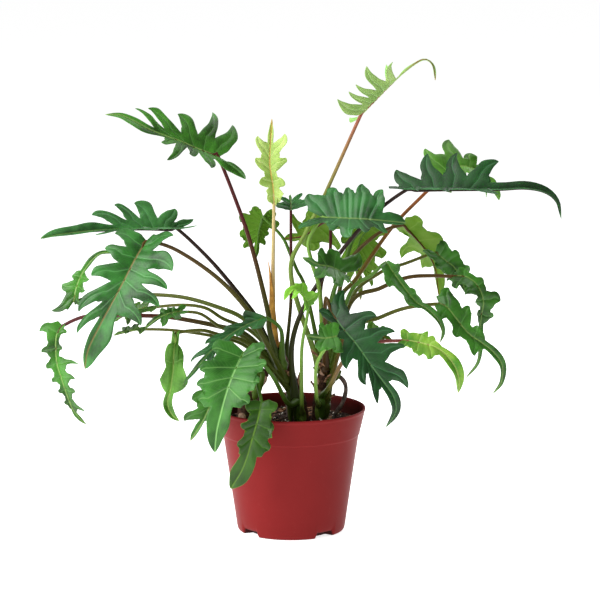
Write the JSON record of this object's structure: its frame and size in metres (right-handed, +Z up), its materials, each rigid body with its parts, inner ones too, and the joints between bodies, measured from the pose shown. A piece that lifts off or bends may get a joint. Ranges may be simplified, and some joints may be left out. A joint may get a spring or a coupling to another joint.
{
  "type": "potted xanadu philodendron",
  "caption": "Bushy houseplant with deeply lobed leaves on long arching stalks, rising from woody stems in soil in a round tapered nursery pot.",
  "frame": {"origin": "middle of the pot's flat underside, where the pot stands", "axes": "+Z up along the pot's axis; -Y is the side that faces the viewer of the picture; +X to that viewer's right, along the plant's greatest spread"},
  "size_m": [0.5274, 0.2363, 0.479],
  "materials": {
    "pot_plastic": "satin red-brown moulded plastic",
    "potting_soil": "loose dark potting mix with bark and perlite",
    "stem_bark": "ringed brown bark with round leaf scars",
    "leaf_mid": "glossy mid-green leaf",
    "leaf_blue": "glossy blue-green leaf",
    "leaf_dark": "glossy dark green leaf",
    "leaf_deep": "glossy deep green leaf",
    "leaf_fresh": "satin fresh-green leaf",
    "leaf_bright": "satin bright green leaf",
    "leaf_lime": "soft lime-green young leaf",
    "leaf_pale": "matt pale underside of a leaf",
    "leaf_olive": "satin olive-green leaf"
  },
  "bodies": {
    "root": {"pot": "pot_plastic", "soil": "potting_soil", "stem_left": "stem_bark", "stem_middle": "stem_bark", "stem_right": "stem_bark", "leaf_top_left": "leaf_mid", "leaf_left_upper": "leaf_blue", "leaf_left_face": "leaf_blue", "leaf_far_left_back": "leaf_mid", "leaf_far_left": "leaf_mid", "leaf_left_hanging": "leaf_fresh", "leaf_left_twist": "leaf_fresh", "leaf_left_tucked": "leaf_dark", "leaf_left_low": "leaf_dark", "leaf_left_inner": "leaf_blue", "leaf_front_left": "leaf_bright", "leaf_front_left_low": "leaf_mid", "leaf_front_pot": "leaf_deep", "leaf_new_leaf": "leaf_lime", "leaf_top_right": "leaf_pale", "leaf_right_long": "leaf_dark", "leaf_right_back": "leaf_fresh", "leaf_centre_right": "leaf_blue", "leaf_centre_small": "leaf_blue", "leaf_centre_back": "leaf_olive", "leaf_centre_left": "leaf_deep", "leaf_back_hanging": "leaf_olive", "leaf_right_droop_1": "leaf_olive", "leaf_right_droop_2": "leaf_blue", "leaf_right_droop_3": "leaf_mid", "leaf_right_droop_4": "leaf_deep", "leaf_right_twist": "leaf_mid", "leaf_right_young": "leaf_lime", "leaf_dark_front": "leaf_dark", "leaf_front_centre": "leaf_mid", "leaf_young_left": "leaf_bright", "leaf_centre_face": "leaf_blue", "leaf_behind_dark": "leaf_olive"}
  },
  "joints": []
}
